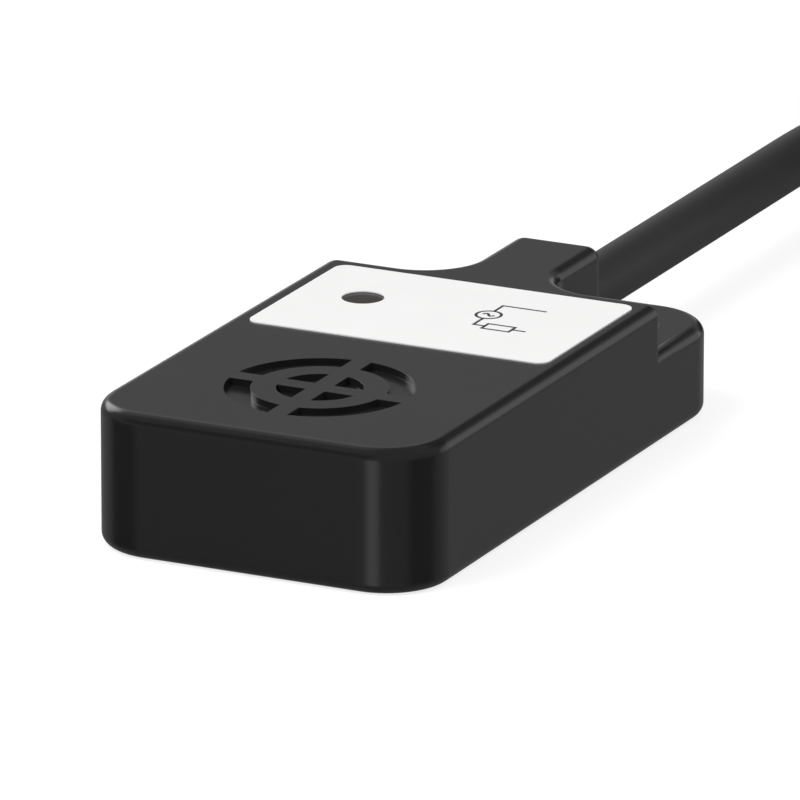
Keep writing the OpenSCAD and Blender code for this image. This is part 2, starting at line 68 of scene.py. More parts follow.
class Signal:
    """A node socket that takes part in arithmetic."""

    def __init__(self, graph: "Graph", socket: bpy.types.NodeSocket) -> None:
        """Keeps the socket and the graph that it belongs to.

        Args:
            graph: the node graph that new nodes are added to.
            socket: the output that this signal stands for.
        """
        self.graph = graph
        self.socket = socket

    def math(self, operation: str, *others: "Signal | float") -> "Signal":
        """Adds a Math node with this signal as its first value.

        Args:
            operation: the Math node's operation.
            others: the node's other values, in order.

        Returns:
            The node's result.
        """
        values = dict(enumerate([self, *others]))
        return self.graph.node("ShaderNodeMath", {"operation": operation}, values)

    def __add__(self, other: "Signal | float") -> "Signal":
        """Sum."""
        return self.math("ADD", other)

    __radd__ = __add__

    def __sub__(self, other: "Signal | float") -> "Signal":
        """Difference."""
        return self.math("SUBTRACT", other)

    def __rsub__(self, other: float) -> "Signal":
        """Difference, with this signal taken away from a number."""
        return self.math("MULTIPLY_ADD", -1.0, other)

    def __mul__(self, other: "Signal | float") -> "Signal":
        """Product."""
        return self.math("MULTIPLY", other)

    __rmul__ = __mul__

    def smooth_step(self, low: float, high: float) -> "Signal":
        """Eased rise from 0 at low to 1 at high, or a fall where low is the larger.

        Args:
            low: the value that gives 0.
            high: the value that gives 1.

        Returns:
            The eased share.
        """
        values = {"Value": self, "From Min": low, "From Max": high}
        settings = {"interpolation_type": "SMOOTHSTEP"}
        return self.graph.node("ShaderNodeMapRange", settings, values)


class Graph:
    """Builds the nodes of one material or world."""

    # Places of the Mix node's colour sockets, whose names it uses more than once
    MIX_FACTOR = 0
    MIX_FIRST = 6
    MIX_SECOND = 7
    MIX_COLOUR = 2

    def __init__(self, tree: bpy.types.NodeTree) -> None:
        """Empties the tree and keeps it.

        Args:
            tree: the node tree to fill.
        """
        tree.nodes.clear()
        self.tree = tree

    def add(
        self,
        kind: str,
        settings: dict[str, Setting] | None = None,
        values: dict[str | int, "Signal | Level"] | None = None,
    ) -> bpy.types.Node:
        """Adds a node, sets it up and feeds its sockets.

        Args:
            kind: the node's type.
            settings: the node's own settings, which are set first.
            values: numbers or signals for its inputs, by name or index.

        Returns:
            The node.
        """
        node = self.tree.nodes.new(kind)
        for name, setting in (settings or {}).items():
            setattr(node, name, setting)
        for key, value in (values or {}).items():
            if isinstance(value, Signal):
                self.tree.links.new(value.socket, node.inputs[key])
            else:
                node.inputs[key].default_value = value
        return node

    def node(
        self,
        kind: str,
        settings: dict[str, Setting] | None = None,
        values: dict[str | int, "Signal | Level"] | None = None,
        output: str | int = 0,
    ) -> Signal:
        """Adds a node and returns one of its outputs.

        Args:
            kind: the node's type.
            settings: the node's own settings.
            values: numbers or signals for its inputs.
            output: the wanted output, by name or index.

        Returns:
            The output as a signal.
        """
        return Signal(self, self.add(kind, settings, values).outputs[output])

    def object_place(self) -> Signal:
        """Place on the piece, in metres."""
        return self.node("ShaderNodeTexCoord", output="Object")

    def noise(self, place: Signal, size: float, detail: float = 2.0, rough: float = 0.5) -> Signal:
        """Soft noise about one half.

        Args:
            place: where the pattern is read.
            size: size of its features, in metres.
            detail: number of finer layers.
            rough: strength of the finer layers.

        Returns:
            The noise, from 0 to 1.
        """
        values = {"Vector": place, "Scale": 1 / size, "Detail": detail, "Roughness": rough}
        return self.node("ShaderNodeTexNoise", None, values)

    def blend(self, share: Signal, first: Signal | Level, second: Signal | Level) -> Signal:
        """Mixes two colours.

        Args:
            share: how much of the second colour shows.
            first: colour where share is 0.
            second: colour where share is 1.

        Returns:
            The mixed colour.
        """
        values = {
            self.MIX_FACTOR: share,
            self.MIX_FIRST: first,
            self.MIX_SECOND: second,
        }
        return self.node("ShaderNodeMix", {"data_type": "RGBA"}, values, self.MIX_COLOUR)

    def bump(self, height: Signal, depth: float) -> Signal:
        """Small relief.

        Args:
            height: the relief's shape, from 0 to 1.
            depth: its depth, in metres.

        Returns:
            The disturbed normal.
        """
        return self.node("ShaderNodeBump", None, {"Height": height, "Distance": depth})


def colour(red: float, green: float, blue: float, lift: float = 1.0) -> tuple[float, ...]:
    """A linear colour with full opacity, made lighter or darker by lift."""
    return (red * lift, green * lift, blue * lift, 1.0)


def grey(level: float) -> tuple[float, ...]:
    """A grey with full opacity."""
    return colour(level, level, level)


# -------------------------------------------------------------------- finishes


@dataclass(frozen=True)
class Finish:
    """A surface finish with soft variation of its shade and gloss."""

    name: str
    shade: tuple[float, float, float]
    gloss_roughness: float = 0.4
    shade_change: float = 0.12
    roughness_change: float = 0.06
    patch: float = 6.0
    grain: float = 0.25
    grain_depth: float = 0.004
    metal: float = 0.0
    coat: float = 0.0
    specular: float = 0.5

    def surface(self, graph: Graph) -> dict[str, Signal | Level]:
        """Values of the shader's inputs.

        Args:
            graph: the material's graph.

        Returns:
            Values and signals by the names of the shader's sockets.
        """
        place = graph.object_place()
        patches = graph.noise(place, self.patch * MM, detail=3.0)
        grain = graph.noise(place, self.grain * MM, detail=1.0)
        dark = colour(*self.shade, lift=1 - self.shade_change)
        light = colour(*self.shade, lift=1 + self.shade_change)
        rough = self.gloss_roughness + (patches - 0.5) * (2 * self.roughness_change)
        return {
            "Base Color": graph.blend(patches, dark, light),
            "Roughness": rough,
            "Normal": graph.bump(grain, self.grain_depth * MM),
            "Metallic": self.metal,
            "Coat Weight": self.coat,
            "Specular IOR Level": self.specular,
        }

    def material(self) -> bpy.types.Material:
        """Makes the material."""
        made = bpy.data.materials.new(self.name)
        made.use_nodes = True
        graph = Graph(made.node_tree)
        shader = graph.add("ShaderNodeBsdfPrincipled", None, self.surface(graph))
        output = graph.add("ShaderNodeOutputMaterial")
        graph.tree.links.new(shader.outputs[0], output.inputs[0])
        made.diffuse_color = colour(*self.shade)
        return made


CASE = Finish("case_plastic", (0.0135, 0.0135, 0.014), 0.2, 0.08, 0.02, 9.0, 0.16, 0.0006)
COVER = Finish("cover_plastic", (0.024, 0.024, 0.0245), 0.40, 0.08, 0.04, 7.0, 0.2, 0.003)
LABEL = Finish("label_film", (0.93, 0.93, 0.925), 0.32, 0.015, 0.03, 5.0, 0.3, 0.001)
INK = Finish("print_ink", (0.018, 0.018, 0.02), 0.45, 0.1, 0.03, 2.0, 0.1, 0.001)
LENS = Finish("smoked_lens", (0.018, 0.012, 0.012), 0.2, 0.05, 0.02, 2.0, 0.4, 0.0003)
SHEATH = Finish("cable_jacket", (0.026, 0.026, 0.0265), 0.52, 0.1, 0.04, 12.0, 0.22, 0.003)
BROWN = Finish("brown_insulation", (0.16, 0.055, 0.02), 0.34, 0.1, 0.04, 3.0, 0.2, 0.002)
BLUE = Finish("blue_insulation", (0.02, 0.09, 0.42), 0.34, 0.1, 0.04, 3.0, 0.2, 0.002)
TIE = Finish("tie_plastic", (0.72, 0.72, 0.70), 0.42, 0.05, 0.05, 3.0, 0.3, 0.006)
SOLDER = Finish("solder", (0.72, 0.73, 0.75), 0.28, 0.08, 0.1, 1.0, 0.12, 0.004, metal=1.0)
STEEL = Finish("clamp_steel", (0.56, 0.56, 0.57), 0.34, 0.06, 0.08, 2.0, 0.15, 0.003, metal=1.0)
COPPER = Finish("copper_wire", (0.62, 0.24, 0.09), 0.3, 0.1, 0.06, 1.5, 0.1, 0.002, metal=1.0)
FERRITE = Finish("ferrite", (0.06, 0.056, 0.052), 0.55, 0.2, 0.08, 2.5, 0.12, 0.01)
BOBBIN = Finish("bobbin_plastic", (0.80, 0.75, 0.62), 0.42, 0.05, 0.05, 4.0, 0.2, 0.003)
PAD = Finish("silicone_pad", (0.66, 0.64, 0.56), 0.6, 0.06, 0.05, 4.0, 0.3, 0.006)
BOARD = Finish("board_laminate", (0.012, 0.13, 0.05), 0.28, 0.12, 0.06, 3.0, 0.35, 0.004)
CHIP = Finish("chip_moulding", (0.016, 0.016, 0.018), 0.5, 0.15, 0.06, 1.5, 0.08, 0.004)
VARISTOR = Finish("varistor_coating", (0.02, 0.09, 0.36), 0.3, 0.1, 0.05, 1.5, 0.2, 0.004)
OCHRE = Finish("capacitor_moulding", (0.62, 0.36, 0.05), 0.38, 0.08, 0.05, 1.5, 0.15, 0.004)
CERAMIC = Finish("capacitor_ceramic", (0.42, 0.31, 0.19), 0.5, 0.1, 0.05, 1.0, 0.1, 0.004)
RESISTOR = Finish("resistor_film", (0.02, 0.02, 0.024), 0.3, 0.1, 0.05, 1.0, 0.1, 0.002)
DIODE = Finish("diode_glass", (0.34, 0.11, 0.05), 0.15, 0.1, 0.03, 1.0, 0.2, 0.001, coat=0.6)
LED_BODY = Finish("led_body", (0.82, 0.76, 0.64), 0.35, 0.05, 0.04, 1.0, 0.1, 0.002)
RESIN = Finish("epoxy_resin", (0.022, 0.020, 0.018), 0.2, 0.15, 0.08, 5.0, 1.5, 0.02)
BUSHING = Finish("bushing_rubber", (0.016, 0.016, 0.016), 0.55, 0.1, 0.05, 2.0, 0.15, 0.004)

CAD_FINISHES: dict[str, Finish] = {
    "bottom_cover": COVER,
    "indicator_led": LED_BODY,
    "ferrite_core": FERRITE,
    "coil_bobbin": BOBBIN,
    "coil_winding": COPPER,
    "winding_ends": COPPER,
    "core_pad": PAD,
    "circuit_board": BOARD,
    "oscillator_chip": CHIP,
    "bridge_rectifier": CHIP,
    "output_thyristor": CHIP,
    "surge_varistor": VARISTOR,
    "smoothing_capacitor": OCHRE,
    "tuning_capacitors": CERAMIC,
    "chip_resistors": RESISTOR,
    "zener_diode": DIODE,
    "solder_joints": SOLDER,
    "potting_resin": RESIN,
    "cable_bushing": BUSHING,
    "cable_clamp": STEEL,
    "cable_inner_end": SHEATH,
    "inner_wire_brown": BROWN,
    "inner_wire_blue": BLUE,
}


class Wardrobe:
    """Makes each finish once and hands it out."""

    def __init__(self) -> None:
        """Starts with no materials made."""
        self.made: dict[str, bpy.types.Material] = {}

    def dress(self, piece: bpy.types.Object, finish: Finish) -> None:
        """Gives a piece its finish.

        Args:
            piece: the object to dress.
            finish: the finish that it wears.
        """
        if finish.name not in self.made:
            self.made[finish.name] = finish.material()
        piece.data.materials.clear()
        piece.data.materials.append(self.made[finish.name])


WARDROBE = Wardrobe()


# ---------------------------------------------------------------- mesh helpers


class Shading(Enum):
    """How a mesh catches the light."""

    SMOOTH = 180.0
    CREASED = 32.0


def add_piece(
    name: str,
    shape: bmesh.types.BMesh,
    finish: Finish,
    replaced: Sequence[str] = (),
    shading: Shading = Shading.CREASED,
) -> bpy.types.Object:
    """Turns a finished bmesh into a piece that rides on the sensor.

    Args:
        name: the piece's name.
        shape: its mesh, in metres and in place; it is freed here.
        finish: what it wears.
        replaced: CAD nodes that it stands for.
        shading: smooth all over, or creased at edges.

    Returns:
        The new object.
    """
    mesh = bpy.data.meshes.new(name)
    shape.to_mesh(mesh)
    shape.free()
    mesh.shade_smooth()
    if shading is Shading.CREASED:
        mesh.set_sharp_from_angle(angle=math.radians(shading.value))
    piece = bpy.data.objects.new(name, mesh)
    bpy.context.scene.collection.objects.link(piece)
    WARDROBE.dress(piece, finish)
    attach(piece, BODY)
    if replaced:
        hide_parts(*replaced)
    LOG.info("%s: %d faces", name, len(mesh.polygons))
    return piece


def even_normals(piece: bpy.types.Object) -> None:
    """Keeps a piece's large faces flat beside its rounded edges."""
    weighted = piece.modifiers.new("even_normals", "WEIGHTED_NORMAL")
    weighted.mode = "FACE_AREA"
    weighted.weight = 100
    weighted.keep_sharp = True


def place(shape: bmesh.types.BMesh, transform: Matrix) -> None:
    """Moves a whole bmesh."""
    bmesh.ops.transform(shape, matrix=transform, verts=shape.verts)


def millimetres(shape: bmesh.types.BMesh) -> None:
    """Turns a bmesh from millimetres into metres."""
    place(shape, Matrix.Scale(MM, 4))


def swept(
    line: Sequence[Vector],
    section: Sequence[tuple[float, float]],
    roll: Callable[[float], float] | None = None,
) -> bmesh.types.BMesh:
    """Sweeps a closed section along a line.

    The section's first axis lies level and across the line, its second points up.

    Args:
        line: the line's points.
        section: the section's points, counter-clockwise seen along the line.
        roll: turn of the section at each share of the line, in radians.

    Returns:
        The closed tube.
    """
    shape = bmesh.new()
    rings: list[list[bmesh.types.BMVert]] = []
    for i, point in enumerate(line):
        along = (line[min(i + 1, len(line) - 1)] - line[max(i - 1, 0)]).normalized()
        across = along.cross(Vector((0, 0, 1))).normalized()
        upward = across.cross(along)
        turn = roll(i / (len(line) - 1)) if roll else 0.0
        ring = []
        for x, y in section:
            u = x * math.cos(turn) - y * math.sin(turn)
            v = x * math.sin(turn) + y * math.cos(turn)
            ring.append(shape.verts.new(point + across * u + upward * v))
        rings.append(ring)
    edges = [loop_edges(shape, ring) for ring in rings]
    for before, after in zip(edges, edges[1:], strict=False):
        bmesh.ops.bridge_loops(shape, edges=before + after)
    for ring in (rings[0], rings[-1]):
        shape.faces.new(ring)
    bmesh.ops.recalc_face_normals(shape, faces=shape.faces)
    return shape


def loop_edges(
    shape: bmesh.types.BMesh, ring: Sequence[bmesh.types.BMVert]
) -> list[bmesh.types.BMEdge]:
    """Joins a ring of vertices with edges."""
    return [shape.edges.new((ring[i - 1], ring[i])) for i in range(len(ring))]


def circle_section(diameter: float, sides: int) -> list[tuple[float, float]]:
    """Points of a round section."""
    steps = [FULL_TURN * k / sides for k in range(sides)]
    return [(diameter / 2 * math.cos(a), diameter / 2 * math.sin(a)) for a in steps]


def rounded(before: Vector, first: Vector, second: Vector, after: Vector, share: float) -> Vector:
    """A point between two points of a line, on a curve through all of them.

    Args:
        before: the point before the first.
        first: start of the stretch.
        second: end of the stretch.
        after: the point after the second.
        share: how far along the stretch.

    Returns:
        The point.
    """
    slope_in, slope_out = (second - before) / 2, (after - first) / 2
    t, t2, t3 = share, share**2, share**3
    start = first * (2 * t3 - 3 * t2 + 1) + slope_in * (t3 - 2 * t2 + t)
    return start + second * (3 * t2 - 2 * t3) + slope_out * (t3 - t2)


def add_shape(target: bmesh.types.BMesh, part: bmesh.types.BMesh) -> None:
    """Adds a bmesh to another one and frees it."""
    mesh = bpy.data.meshes.new("part")
    part.to_mesh(mesh)
    part.free()
    target.from_mesh(mesh)
    bpy.data.meshes.remove(mesh)


def eased(share: float) -> float:
    """Smooth rise from 0 to 1, level at both ends."""
    share = min(max(share, 0.0), 1.0)
    return share * share * (3 - 2 * share)


# ---------------------------------------------------------------------- camera


@dataclass(frozen=True)
class StudioCamera:
    """The camera: a long lens from the sensing end's right-hand side."""

    place_mm: tuple[float, float, float] = (337.869, -697.148, 252.445)
    tilt: float = 72.307
    heading: float = 25.894
    lens: float = 546.906
    sensor_width: float = 36.0

    def build(self) -> bpy.types.Object:
        """Makes the camera and puts it in use."""
        data = bpy.data.cameras.new("studio_camera")
        data.lens = self.lens
        data.sensor_width = self.sensor_width
        camera = bpy.data.objects.new("studio_camera", data)
        camera.location = Vector(self.place_mm) * MM
        camera.rotation_euler = (math.radians(self.tilt), 0.0, math.radians(self.heading))
        bpy.context.scene.collection.objects.link(camera)
        bpy.context.scene.camera = camera
        return camera


# ----------------------------------------------------------------------- cable


class Leg(Enum):
    """One part of a turn of the folded cable, in the order of travel."""

    LEFT_RUN = 0
    FAR_FOLD = 1
    RIGHT_RUN = 2
    NEAR_FOLD = 3


@dataclass(frozen=True)
class Cable:
    """The sensor's own cable: a straight run, a tied hank and two bare end wires."""

    diameter: float = 3.8
    length: float = 2000.0
    sides: int = 20
    # The middle line from the neck to the hank; its last two points carry the CAD tube's
    # end on into the hank
    run: tuple[tuple[float, float, float], ...] = (
        (0, 24, 5.2),
        (0, 32, 5.2),
        (0, 40, 5.2),
        (0, 48, 5.2),
        (0, 56, 5.2),
        (0, 64, 5.2),
        (-0.1, 68, 5),
        (-0.7, 72, 4.3),
        (-1.9, 76, 3.1),
        (-3.4, 80, 2.3),
        (-4.4, 85, 1.9),
        (-4.6, 90, 1.9),
    )
    run_cuts: int = 4
    hank_x: float = 10.6
    hank_y: float = 96.0
    hank_run: float = 63.0
    fold: float = 11.4
    last_turn: int = 9
    tail_end: float = 39.6
    bulge: float = 1.0
    fold_steps: int = 14
    run_steps: int = 16
    strap: float = 0.35
    squeeze: float = 0.08
    hump_width: float = 14.0

    @property
    def tie_y(self) -> float:
        """Place of the tie along the hank."""
        return self.hank_y + self.hank_run / 2

    def cell(self, turn: int) -> tuple[float, float]:
        """Fold radius and height of a turn's place in the hank's section."""
        outer = turn % 4 in (0, 3)
        return (
            self.fold + (self.diameter if outer else 0.0),
            self.diameter * (turn // 2 + 0.5),
        )

    def section_place(self, turn: int, leg: Leg, share: float) -> tuple[float, float]:
        """Radius and height of the cable, which changes its place along the right run.

        Args:
            turn: number of the turn, from 0.
            leg: the part of the turn.
            share: how far along that part.

        Returns:
            The fold radius and the height.
        """
        radius, height = self.cell(turn)
        next_radius, next_height = self.cell(turn + 1)
        if leg is Leg.NEAR_FOLD:
            return next_radius, next_height
        if leg is not Leg.RIGHT_RUN:
            return radius, height
        moved = eased(share)
        side = 1 if radius > self.fold else -1
        climbs = next_height > height
        aside = side * self.bulge * math.sin(math.pi * moved) if climbs else 0.0
        return (
            radius + (next_radius - radius) * moved + aside,
            height + (next_height - height) * moved,
        )

    def hank_point(self, turn: int, leg: Leg, share: float, radius_shift: float = 0.0) -> Vector:
        """A point of the folded cable's middle line.

        Args:
            turn: number of the turn, from 0.
            leg: the part of the turn.
            share: how far along that part.
            radius_shift: distance outward from the middle line.

        Returns:
            The point.
        """
        radius, height = self.section_place(turn, leg, share)
        radius += radius_shift
        near, far = self.hank_y, self.hank_y + self.hank_run
        angle = math.pi * share
        if leg is Leg.LEFT_RUN:
            x, y = self.hank_x - radius, near + (far - near) * share
        elif leg is Leg.RIGHT_RUN:
            x, y = self.hank_x + radius, far + (near - far) * share
        elif leg is Leg.FAR_FOLD:
            x, y = self.hank_x - radius * math.cos(angle), far + radius * math.sin(angle)
        else:
            x, y = self.hank_x + radius * math.cos(angle), near - radius * math.sin(angle)
        return Vector((x, y, height + self.hump(y, turn // 2)))

    def hump(self, y: float, layer: int) -> float:
        """Lift of a layer where it crosses the tie's lower strip."""
        lift = self.strap - self.squeeze * layer
        return max(lift, 0.0) * eased(1 - abs(y - self.tie_y) / self.hump_width)

    def approach(self) -> list[Vector]:
        """The middle line from the neck to the hank, rounded between its points."""
        points = [Vector(p) for p in self.run] + [self.hank_point(0, Leg.LEFT_RUN, 0)]
        smooth = []
        for i in range(len(points) - 1):
            before = points[max(i - 1, 0)]
            first, second = points[i], points[i + 1]
            after = points[min(i + 2, len(points) - 1)]
            for k in range(self.run_cuts):
                smooth.append(rounded(before, first, second, after, k / self.run_cuts))
        return smooth

    def line(self) -> list[Vector]:
        """The whole middle line, in millimetres."""
        points = self.approach()
        for turn in range(self.last_turn):
            for leg in Leg:
                straight = leg in (Leg.LEFT_RUN, Leg.RIGHT_RUN)
                steps = self.run_steps if straight else self.fold_steps
                points += [self.hank_point(turn, leg, i / steps) for i in range(steps)]
        last = self.tail_end / self.hank_run
        shares = [last * i / self.run_steps for i in range(self.run_steps + 1)]
        return points + [self.hank_point(self.last_turn, Leg.LEFT_RUN, s) for s in shares]

    def build(self) -> bpy.types.Object:
        line = self.line()
        shape = swept(line, circle_section(self.diameter, self.sides))
        millimetres(shape)
        nodes = ("cable_run", "cable_hank", "cable_tail")
        piece = add_piece("sensor_cable", shape, SHEATH, nodes)
        ends = [*EndWires(self).build(), HankTie(self).build()]
        [list(p * MM) for p in line]
        return piece


@dataclass(frozen=True)
class EndWires:
    """The brown and the blue wire at the cable's free end, with their tinned tips."""

    cable: Cable
    diameter: float = 1.3
    length: float = 36.0
    beside: float = 0.72
    spread: float = 0.4
    sink: float = 10.0
    tip_length: float = 6.0
    tip_diameter: float = 0.8
    tip_strands: int = 7
    tip_groove: float = 0.07
    tip_twists: float = 1.6
    tuck: float = 1.0
    steps: int = 30
    sides: int = 16

    def point(self, side: int, along: float) -> Vector:
        """A point of a wire's middle line.

        Args:
            side: 1 for the outer wire, -1 for the inner one.
            along: distance from the jacket's end.

        Returns:
            The point.
        """
        cable = self.cable
        aside = self.beside + self.spread * eased(along / self.length)
        travelled = cable.tail_end + along
        if travelled < cable.hank_run:
            leg, share = Leg.LEFT_RUN, travelled / cable.hank_run
        else:
            leg, share = Leg.FAR_FOLD, (travelled - cable.hank_run) / (math.pi * cable.fold)
        point = cable.hank_point(cable.last_turn, leg, share, side * aside)
        support = (cable.diameter + self.diameter) / 2
        low = point.z - cable.diameter + math.sqrt(support**2 - aside**2)
        point.z += (low - point.z) * eased(along / self.sink)
        return point

    def line(self, side: int, start: float, end: float) -> list[Vector]:
        """Points of a wire's middle line between two distances."""
        span = range(self.steps + 1)
        return [self.point(side, start + (end - start) * i / self.steps) for i in span]

    def strand_section(self) -> list[tuple[float, float]]:
        """Section of the twisted, tinned strands."""
        points = []
        sides = 6 * self.tip_strands
        for k in range(sides):
            a = FULL_TURN * k / sides
            r = self.tip_diameter / 2 * (1 - self.tip_groove * (1 - math.cos(self.tip_strands * a)))
            points.append((r * math.cos(a), r * math.sin(a)))
        return points

    def build(self) -> list[bpy.types.Object]:
        """Makes both wires and their tips.

        Returns:
            The pieces on the cable's end.
        """
        pieces = []
        wires = ((1, "brown", BROWN), (-1, "blue", BLUE))
        for side, name, finish in wires:
            line = self.line(side, -self.tuck, self.length)
            shape = swept(line, circle_section(self.diameter, self.sides))
            millimetres(shape)
            pieces.append(add_piece(f"end_wire_{name}", shape, finish, (f"lead_{name}",)))
        for side, name, _ in wires:
            line = self.line(side, self.length - self.tuck, self.length + self.tip_length)
            shape = swept(line, self.strand_section(), lambda s: -FULL_TURN * self.tip_twists * s)
            millimetres(shape)
            nodes = ("lead_tips",) if side == 1 else ()
            piece = add_piece(f"tinned_tip_{name}", shape, SOLDER, nodes, Shading.SMOOTH)
            pieces.append(piece)
        return pieces


@dataclass(frozen=True)
class HankTie:
    """The flat tie around the folded cable, with its twisted ends inside the hank."""

    cable: Cable
    width: float = 4.0
    thickness: float = 0.35
    rib: float = 0.7
    hull_steps: int = 96
    twist_length: float = 9.0
    twist_turns: float = 3.0
    twist_steps: int = 40
    twist_gap: float = 0.45
    twist_from: float = 0.2
    twist_opens: float = 6.0
    twist_width: float = 0.28
    twist_thickness: float = 1.1

    def cable_sections(self) -> list[Vector]:
        """Middles of the cable's sections where the tie crosses them."""
        cable = self.cable
        found = [cable.hank_point(turn, Leg.LEFT_RUN, 0.5) for turn in range(cable.last_turn + 1)]
        found += [cable.hank_point(turn, Leg.RIGHT_RUN, 0.5) for turn in range(cable.last_turn)]
        return found

    def loop(self) -> list[Vector]:
        """The tie's middle line: the tight outline of the sections, a little outside."""
        middles = self.cable_sections()
        reach = (self.cable.diameter + self.thickness) / 2
        points = []
        for i in range(self.hull_steps):
            angle = FULL_TURN * (i + 0.5) / self.hull_steps
            out = Vector((math.cos(angle), 0, math.sin(angle)))
            points.append(max(middles, key=lambda m: m.dot(out)) + out * reach)
        return points

    def strip_section(self) -> list[tuple[float, float]]:
        """Section of the strip: flat, with a low rib over its wire."""
        w, t, r = self.width / 2, self.thickness / 2, self.rib / 2
        upper = [(w, 0), (w - 0.1, t * 0.55), (r * 1.6, t * 0.6), (r, t * 0.9), (0, t)]
        outer = upper + [(-x, y) for x, y in reversed(upper[:-1])]
        return outer + [(-x, -y) for x, y in outer[1:-1]]

    def build(self) -> bpy.types.Object:
        """Makes the tie."""
        loop = self.loop()
        shape = bmesh.new()
        rings = []
        for i, point in enumerate(loop):
            along = (loop[(i + 1) % len(loop)] - loop[i - 1]).normalized()
            out = along.cross(Vector((0, 1, 0)))
            ring = [point + out * y + Vector((0, x, 0)) for x, y in self.strip_section()]
            rings.append([shape.verts.new(p) for p in ring])
        edges = [loop_edges(shape, ring) for ring in rings]
        for i in range(len(edges)):
            bmesh.ops.bridge_loops(shape, edges=edges[i - 1] + edges[i])
        top = max(point.z for point in loop)
        for side in (0.0, math.pi):
            add_shape(shape, self.twisted_end(side, top))
        bmesh.ops.recalc_face_normals(shape, faces=shape.faces)
        millimetres(shape)
        return add_piece("cable_tie", shape, TIE, ("hank_tie",))

    def twisted_end(self, start: float, top: float) -> bmesh.types.BMesh:
        """One of the two twisted ends, which go down into the hank's opening.

        Args:
            start: angle at which it begins.
            top: height of the strip that it leaves.

        Returns:
            Its mesh.
        """
        line = []
        for i in range(self.twist_steps + 1):
            share = i / self.twist_steps
            angle = start + FULL_TURN * self.twist_turns * share
            off = self.twist_gap * min(1.0, self.twist_from + self.twist_opens * share)
            x = self.cable.hank_x + off * math.cos(angle)
            y = self.cable.tie_y + off * math.sin(angle)
            line.append(Vector((x, y, top - self.twist_length * share)))
        wide, thick = self.twist_width, self.twist_thickness
        return swept(line, [(x * wide, y * thick) for x, y in self.strip_section()])


# ------------------------------------------------------------------------ case


@dataclass(frozen=True)
class Case:
    """The moulded case with its ears, neck and sensing mark."""

    edge_break: float = 0.06
    edge_segments: int = 2
    merge: float = 0.0005
    flat: float = 0.2
    tangent: float = 30.0

    def build(self) -> bpy.types.Object:
        """Makes the case from the CAD shell, with its sharp edges broken."""
        shape = bmesh.new()
        shape.from_mesh(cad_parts["upper_case"].data)
        bmesh.ops.remove_doubles(shape, verts=shape.verts, dist=self.merge * MM)
        bmesh.ops.dissolve_limit(
            shape, angle_limit=math.radians(self.flat), verts=shape.verts, edges=shape.edges
        )
        piece = add_piece("sensor_case", shape, CASE, ("upper_case",))
        bevel = piece.modifiers.new("edge_break", "BEVEL")
        bevel.width = self.edge_break * MM
        bevel.segments = self.edge_segments
        bevel.limit_method = "ANGLE"
        bevel.angle_limit = math.radians(self.tangent)
        even_normals(piece)
        return piece


# ----------------------------------------------------------------------- label


